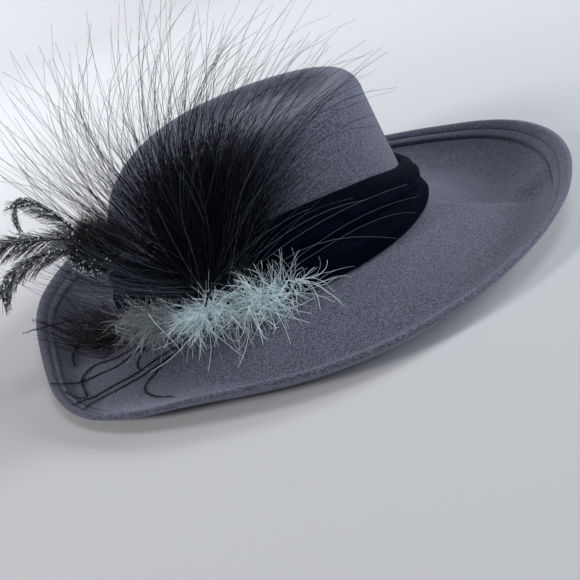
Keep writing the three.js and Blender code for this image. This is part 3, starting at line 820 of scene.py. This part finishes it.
herl_lines = [on_brim(route, HERL_STEPS) for route in HERL_ROUTES]
bundle_lines = []
for _ in range(BUNDLE):
    start = (draw.uniform(187, 200), draw.uniform(4, 10), draw.uniform(2, 8))
    end = (178 - 33 * draw.random() ** 0.7, draw.uniform(24, 66), draw.uniform(0.8, 4))
    middle = (end[0] + draw.uniform(3, 14), end[1] * draw.uniform(0.4, 0.6), draw.uniform(2, 10))
    bundle_lines.append(on_brim([start, middle, end], HERL_STEPS))
strand_radii = tapered(len(herl_lines), HERL_STEPS, root=0.00045, tip=0.00028)
bundle_radii = tapered(BUNDLE, HERL_STEPS, root=0.0003, tip=0.00012)
herl_radii = np.concatenate([strand_radii, bundle_radii])
herl_radii[:, -4:] *= 0.6
herl_paths = in_place(np.stack(herl_lines + bundle_lines))
# About a tenth of the herl strands, and of the nap, take the light colour as painted glints.
herl = spun("curled_herl", herl_paths, herl_radii, glints(len(herl_radii), 0.1))
herl_finish = strand_finish("black herl", dark=(0.003, 0.004, 0.007, 1), light=(0.1, 0.11, 0.12, 1),
                            roughness=0.6, shine=0.2)
herl_finish.put_on(herl)
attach(herl, "root")
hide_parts("herl_strands")
nap_paths, nap_radii = napped(herl_lines, per_millimetre=4.6, nap=1.7, lean=0.7, radius=0.00011)
bundle_nap, bundle_nap_radii = napped(bundle_lines, per_millimetre=0.16, nap=1.1, lean=1.8,
                                      radius=0.00008)
nap_paths = over_brim(np.concatenate([nap_paths, bundle_nap]), gap=0.1)
nap_radii = np.concatenate([nap_radii, bundle_nap_radii])
nap = spun("herl_nap", in_place(nap_paths), nap_radii, glints(len(nap_paths), 0.08))
herl_finish.put_on(nap)
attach(nap, "root")

# The loose quills. Bare pale quills of the down tuft: one snapped over on its near side, in three
# runs, and one like a small comb at its back end.
QUILLS = [
    # angle round the hat, distance from the crown and height over the felt
    [(225.5, 18, 44), (225, 18, 33.6), (225, 18, 20), (225.5, 20, 10)],
    [(225.5, 20, 10), (228.5, 18, 13), (232.5, 17, 17)],
    [(225.5, 20, 10), (220, 23, 6), (213, 26, 1.6)],
    [(190, 4, 10), (192, 13, 4)],
    [(190, 5, 9.5), (199, 5, 9)],
    [(190.5, 7, 8), (200, 7, 8)],
    [(191.5, 11, 6), (199, 10, 4)],
    [(199, 10, 4), (199, 11.5, 2)],
]
LOOSE_STEPS = 16
PALE = 0.85
quill_paths = np.stack([on_brim(route, LOOSE_STEPS) for route in QUILLS])
quill_radii = tapered(len(QUILLS), LOOSE_STEPS, root=0.00028, tip=0.00018)
loose_quills = spun("loose_quills", in_place(quill_paths), quill_radii, np.full(len(QUILLS), PALE))
# The down's finish gives the pale quills some of its painted glow too.
blue_down.put_on(loose_quills)
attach(loose_quills, "root")

# The fronds. Three curled black herl feathers behind the hat, each a thin quill with two close
# rows of soft barbs that lean to its tip, flat towards the side, with shiny ends.
FRONDS = [
    # the quill's points in millimetres round the crown's axis, barb lengths on its two sides, and
    # the share of light barbs, silver-grey and in part painted glints
    ([(-106, -28, 80), (-113, -29, 94), (-119, -30, 105), (-126, -30, 114.5), (-132, -30, 117.5),
      (-137.5, -29, 112), (-139.5, -29, 106)], (15, 4), 0.45),
    ([(-104, -28, 76), (-115, -30, 86), (-127, -31, 91), (-139, -31, 95), (-151, -31, 97),
      (-168, -32, 96)], (17, 16), 0.5),
    ([(-108, -28, 74), (-121, -31, 82), (-133, -32, 84), (-145, -32, 84), (-156, -32, 79),
      (-163, -32, 71)], (20, 9), 0.4),
]
BARBS_PER_MM = 7.0
BARB_STEPS = 8
QUILL_STEPS = 60
frond_lines = [through(points, QUILL_STEPS) for points, _, _ in FRONDS]
frond_quill_radii = tapered(len(FRONDS), QUILL_STEPS, root=0.0005, tip=0.0002)
frond_quill_paths = in_place(np.stack(frond_lines))
quills = spun("frond_quills", frond_quill_paths, frond_quill_radii, np.zeros(len(FRONDS)))
herl_finish.put_on(quills)
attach(quills, "root")
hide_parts("curled_fronds")


def frond_barbs(line, lengths, light):
    """Two rows of barbs along a quill, flat in its own curl, and their shades."""
    size = np.linalg.norm(np.diff(line, axis=0), axis=1).sum()
    count = int(size * BARBS_PER_MM)
    place = draw.uniform(0.12, 0.995, count) * (len(line) - 1)
    k = np.minimum(place.astype(int), len(line) - 2)
    t = (place - k)[:, None]
    along = unit(line[k + 1] - line[k])
    starts = line[k] * (1 - t) + line[k + 1] * t
    left = draw.random(count) < 0.5
    across = unit(np.cross(along, np.array([0.0, 1.0, 0.0]))) * np.where(left, 1, -1)[:, None]
    heading = across * draw.uniform(0.35, 0.55, count)[:, None] + along
    heading = heading + draw.normal(size=(count, 3)) * 0.05
    fade = np.sin(math.pi * np.clip(place / len(line) * 0.75 + 0.15, 0, 1)) ** 0.6
    reach = np.where(left, lengths[0], lengths[1]) * fade * draw.uniform(0.75, 1.05, count)
    curls = draw.normal(0, 0.15, count)
    paths = curled(starts, heading, reach, BARB_STEPS, curls, droop=0.35, wander=0.1)
    return paths, glints(count, light, low=0.2)


barbs = [frond_barbs(line, lengths, light) for line, (_, lengths, light) in zip(frond_lines, FRONDS)]
barb_paths = np.concatenate([paths for paths, _ in barbs])
barb_tones = np.concatenate([tones for _, tones in barbs])
barb_radii = tapered(len(barb_paths), BARB_STEPS, root=0.00016, tip=0.00011)
frond = spun("frond_barbs", in_place(barb_paths), barb_radii, barb_tones)
# The fronds' light colour is their silver-grey, in part a painted glint.
frond_finish = strand_finish("black frond", dark=(0.003, 0.004, 0.007, 1), light=(0.42, 0.46, 0.5, 1),
                             roughness=0.35, shine=0.5)
frond_finish.put_on(frond)
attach(frond, "root")

# The glitter. Fine six-sided silver flakes caught in the fronds' barbs and on the near under side
# of the pad, with a few fallen on the felt below.
FLAKES_ON_FRONDS = 700
FLAKES_ON_PAD = 130
FALLEN = 14
NEAR_BELOW = np.array([-1.2, -1.0, -0.8])
SIDES = 6
THICKNESS = 0.00005
barb = draw.integers(0, len(barb_paths), FLAKES_ON_FRONDS)
along_barb = draw.integers(1, BARB_STEPS, FLAKES_ON_FRONDS)
on_fronds = in_place(barb_paths[barb, along_barb])
pad_ways = unit(draw.normal(size=(FLAKES_ON_PAD, 3)) + NEAR_BELOW)
on_pad = pad_middle + pad_ways * pad_size * 0.98
fallen = []
for _ in range(FALLEN):
    angle = np.radians(draw.uniform(160, 178))
    fallen.append(brim_point(angle, draw.uniform(24, 40), FELT + 0.2))
corners, faces = [], []
for middle in np.concatenate([on_fronds, on_pad, in_place(np.array(fallen))]):
    size = 0.0003 + 0.0006 * draw.random() ** 2
    u = unit(draw.normal(size=3))
    v = unit(np.cross(u, draw.normal(size=3)))
    first = len(corners)
    for lift in (0.0, THICKNESS):
        for turn in np.arange(SIDES) * 2 * math.pi / SIDES:
            out = (u * math.cos(turn) + v * math.sin(turn)) * size
            corners.append((middle + out + np.cross(u, v) * lift).tolist())
    faces.append([first + SIDES - 1 - n for n in range(SIDES)])
    faces.append([first + SIDES + n for n in range(SIDES)])
    for n in range(SIDES):
        after = (n + 1) % SIDES
        faces.append([first + n, first + after, first + SIDES + after, first + SIDES + n])
mesh = bpy.data.meshes.new("silver_glitter")
mesh.from_pydata(corners, [], faces)
glitter = bpy.data.objects.new("silver_glitter", mesh)
bpy.context.scene.collection.objects.link(glitter)
# A small emission on the flakes is a painted sparkle: they glow though no lamp catches them.
silver = Finish("silver glitter", {
    "Base Color": (0.95, 0.97, 1, 1), "Roughness": 0.25, "Specular IOR Level": 1.0,
    "Emission Color": (0.9, 0.96, 1, 1), "Emission Strength": 0.2,
})
silver.put_on(glitter)
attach(glitter, "root")

# The floor and backdrop. One pale seamless sweep of paper: a wide plane just under the hat, its
# far edge drawn up and the corner rounded.
SWEEP = {"size": 12, "middle": -4.4, "drop": 0.0002, "height": 3, "round": 1.0}
bpy.ops.object.select_all(action="DESELECT")
bpy.ops.mesh.primitive_plane_add(size=SWEEP["size"], location=(0, SWEEP["middle"], -SWEEP["drop"]))
sweep = bpy.context.object
sweep.name = sweep.data.name = "pale_sweep"
bpy.ops.object.mode_set(mode="EDIT")
bpy.ops.mesh.select_all(action="DESELECT")
shape = bmesh.from_edit_mesh(sweep.data)
for edge in shape.edges:
    edge.select = all(corner.co.y > 0 for corner in edge.verts)
bmesh.update_edit_mesh(sweep.data)
bpy.ops.mesh.extrude_region_move(TRANSFORM_OT_translate={"value": (0, 0, SWEEP["height"])})
bpy.ops.mesh.select_all(action="DESELECT")
for edge in shape.edges:
    edge.select = all(corner.co.y > 0 and corner.co.z < 1 for corner in edge.verts)
bmesh.update_edit_mesh(sweep.data)
bpy.ops.mesh.bevel(offset=SWEEP["round"], segments=24)
bpy.ops.object.mode_set(mode="OBJECT")
bpy.ops.object.shade_smooth()
paper = Finish("pale paper", {
    "Base Color": (0.8, 0.81, 0.835, 1), "Roughness": 0.9, "Specular IOR Level": 0.1,
})
paper.put_on(sweep)

# The light. Soft, as in the photograph: a small lamp behind the hat's back on the near side, two
# broad ones before its front, one over its near side, one beyond it, and one on the backdrop.
LAMPS = [
    # place in metres, the point it faces, size, strength, colour
    ((-1.5, -0.7, 0.95), (0, 0, 0.05), 0.35, 11, (1.0, 0.97, 0.95)),
    ((1.9, -0.3, 1.0), (0, 0, 0.05), 0.8, 19, (0.94, 0.97, 1.0)),
    ((0.3, -0.8, 1.9), (0, 0, 0.05), 0.8, 8, (0.96, 0.97, 1.0)),
    ((1.7, -0.9, 0.5), (0, 0, 0.05), 0.8, 10, (0.9, 0.96, 1.0)),
    ((1.3, 1.2, 1.1), (0, 0, 0.05), 0.5, 5, (1.0, 0.97, 0.98)),
    ((-0.6, 0.5, 1.1), (-0.7, 1.6, 0.4), 0.8, 14, (0.98, 0.98, 1.0)),
]
for place, facing, size, strength, colour in LAMPS:
    bpy.ops.object.light_add(type="AREA", location=place)
    lamp = bpy.context.object
    lamp.data.shape = "DISK"
    lamp.data.size = size
    lamp.data.energy = strength
    lamp.data.color = colour
    lamp.rotation_euler = (Vector(facing) - lamp.location).to_track_quat("-Z", "Y").to_euler()
world = bpy.data.worlds.new("pale room")
bpy.context.scene.world = world
world.use_nodes = True
background = world.node_tree.nodes["Background"]
background.inputs["Color"].default_value = (0.88, 0.92, 1.0, 1)
background.inputs["Strength"].default_value = 0.08
bpy.context.scene.view_settings.view_transform = "Standard"

# The camera. Close by, at the photograph's angle to the hat, and rolled so that the hat tilts in
# the frame as it does there.
AZIMUTH = math.radians(-12.7)
ELEVATION = math.radians(23.5)
ROLL = math.radians(19.8)
DISTANCE = 0.641
FOCAL_PIXELS = 974
FRAME_PIXELS = 580
# How far before the crown's axis, and how high, the camera looks
AIM = (0.0016, -0.0132)
flat = math.cos(ELEVATION)
back = Vector((math.sin(AZIMUTH) * flat, -math.cos(AZIMUTH) * flat, math.sin(ELEVATION)))
level = Vector((math.cos(AZIMUTH), math.sin(AZIMUTH), 0))
above = back.cross(level)
right = level * math.cos(ROLL) - above * math.sin(ROLL)
up = level * math.sin(ROLL) + above * math.cos(ROLL)
target = Vector((AXIS.x + AIM[0], AXIS.y, AIM[1]))
camera_data = bpy.data.cameras.new("camera")
camera_data.sensor_width = 36
camera_data.lens = FOCAL_PIXELS / FRAME_PIXELS * camera_data.sensor_width
camera = bpy.data.objects.new("camera", camera_data)
bpy.context.scene.collection.objects.link(camera)
turn = Matrix((right, up, back)).transposed().to_4x4()
camera.matrix_world = Matrix.Translation(target + back * DISTANCE) @ turn
bpy.context.scene.camera = camera
